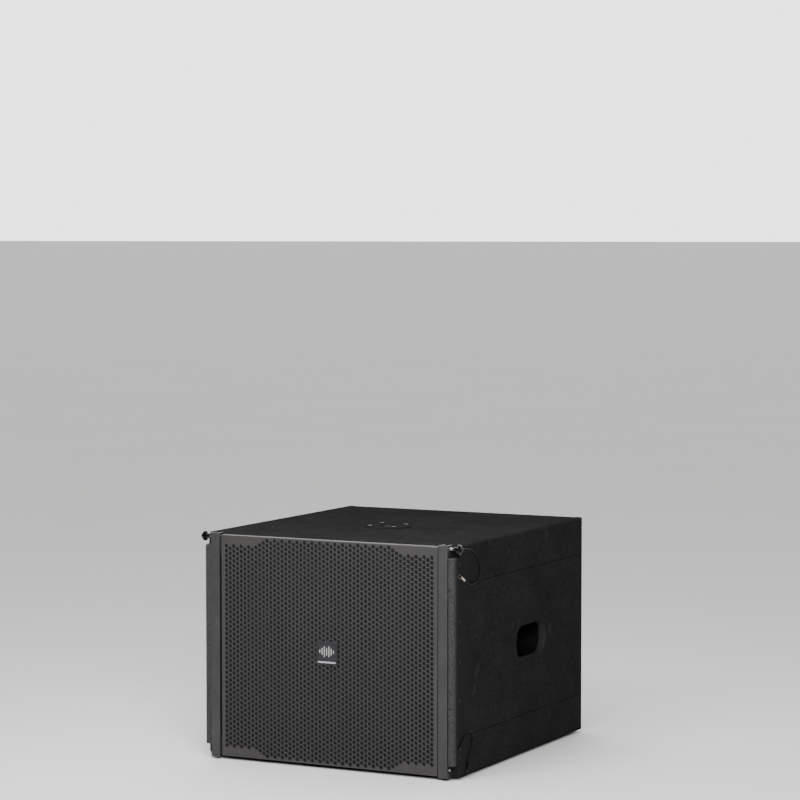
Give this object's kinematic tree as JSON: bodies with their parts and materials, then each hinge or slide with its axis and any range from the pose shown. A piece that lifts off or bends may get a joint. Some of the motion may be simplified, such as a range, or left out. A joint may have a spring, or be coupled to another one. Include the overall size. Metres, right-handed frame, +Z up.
{
  "type": "subwoofer cabinet",
  "caption": "Black plywood subwoofer cabinet with perforated grille, front rigging rails with quick-release pins, pocket handles and a top pole socket.",
  "frame": {"origin": "on the floor, under the middle of the cabinet's outer box", "axes": "+Z up, the grille faces -Y, +X is the cabinet's right side seen from behind the grille looking back along +Y"},
  "size_m": [0.6446, 0.684, 0.5096],
  "materials": {
    "textured_cabinet_paint": "pebbled black paint on birch plywood",
    "birch_plywood": "bare birch plywood, painted black inside",
    "black_powder_coat": "satin black powder coat on steel",
    "moulded_black_plastic": "matt moulded plastic",
    "textured_bumper": "textured moulded strip",
    "polished_steel": "polished steel",
    "black_knob_plastic": "glossy moulded knob",
    "coated_wire": "black coated wire rope",
    "crimp_metal": "bare crimped sleeve",
    "black_screw_steel": "blackened steel",
    "foam": "open-cell acoustic foam",
    "foot_rubber": "matt rubber",
    "badge_metal": "dark anodised plate",
    "zinc_steel": "zinc-plated steel",
    "cast_basket": "black painted casting",
    "magnet_ferrite": "ferrite ring",
    "iron_parts": "machined iron",
    "cone_paper": "black pressed paper",
    "surround_cloth": "treated cloth",
    "gasket_rubber": "foam rubber gasket",
    "coil_wire": "lacquered coil on its former",
    "terminal_plastic": "push terminals",
    "lead_insulation": "insulated copper lead"
  },
  "bodies": {
    "cabinet": {"acoustic_lining": "foam", "back_plate_and_pole": "iron_parts", "badge_plate": "badge_metal", "baffle": "birch_plywood", "basket": "cast_basket", "bottom_panel": "textured_cabinet_paint", "brace": "birch_plywood", "bumper_left": "textured_bumper", "bumper_right": "textured_bumper", "connector_input": "moulded_black_plastic", "connector_link": "moulded_black_plastic", "connector_plate": "black_powder_coat", "connector_plate_screws": "black_screw_steel", "driver_bolts": "black_screw_steel", "driver_gasket": "gasket_rubber", "driver_terminals": "terminal_plastic", "foot_screws": "black_screw_steel", "grille": "black_powder_coat", "grille_foam": "foam", "grille_posts": "moulded_black_plastic", "handle_cup_left": "moulded_black_plastic", "handle_cup_right": "moulded_black_plastic", "handle_screws": "black_screw_steel", "lanyard_ferrules": "crimp_metal", "lanyard_lower_left": "coated_wire", "lanyard_lower_right": "coated_wire", "lanyard_top_left": "coated_wire", "lanyard_top_right": "coated_wire", "lower_link_bolts": "polished_steel", "magnet": "magnet_ferrite", "pole_cup": "zinc_steel", "pole_plate": "black_powder_coat", "pole_plate_screws": "black_screw_steel", "pole_thread_insert": "zinc_steel", "port_wall_left": "birch_plywood", "port_wall_right": "birch_plywood", "rail_bolts": "black_screw_steel", "rail_left": "black_powder_coat", "rail_right": "black_powder_coat", "rear_panel": "textured_cabinet_paint", "rubber_feet": "foot_rubber", "side_panel_left": "textured_cabinet_paint", "side_panel_right": "textured_cabinet_paint", "side_plate_left": "black_powder_coat", "side_plate_right": "black_powder_coat", "side_plate_screws": "black_screw_steel", "speaker_leads": "lead_insulation", "spider": "surround_cloth", "surround": "surround_cloth", "top_panel": "textured_cabinet_paint", "top_plate": "iron_parts"},
    "pin_right": {"pin_shaft_right": "polished_steel", "pin_knob_right": "black_knob_plastic"},
    "pin_left": {"pin_shaft_left": "polished_steel", "pin_knob_left": "black_knob_plastic"},
    "button_right": {"pin_button_right": "polished_steel"},
    "button_left": {"pin_button_left": "polished_steel"},
    "cone_assembly": {"cone": "cone_paper", "dust_cap": "cone_paper", "voice_coil": "coil_wire"}
  },
  "joints": [
    {"name": "pin_pull_right", "type": "slide", "parent": "cabinet", "child": "pin_right", "axis": [1, 0, 0], "range_m": [0, 0.06]},
    {"name": "button_press_right", "type": "slide", "parent": "pin_right", "child": "button_right", "axis": [-1, 0, 0], "range_m": [0, 0.004], "stiffness_N_per_m": 500, "springref_m": -0.002},
    {"name": "pin_pull_left", "type": "slide", "parent": "cabinet", "child": "pin_left", "axis": [-1, 0, 0], "range_m": [0, 0.06]},
    {"name": "button_press_left", "type": "slide", "parent": "pin_left", "child": "button_left", "axis": [1, 0, 0], "range_m": [0, 0.004], "stiffness_N_per_m": 500, "springref_m": -0.002},
    {"name": "cone_travel", "type": "slide", "parent": "cabinet", "child": "cone_assembly", "axis": [0, -1, 0], "range_m": [-0.008, 0.008], "stiffness_N_per_m": 9000}
  ]
}
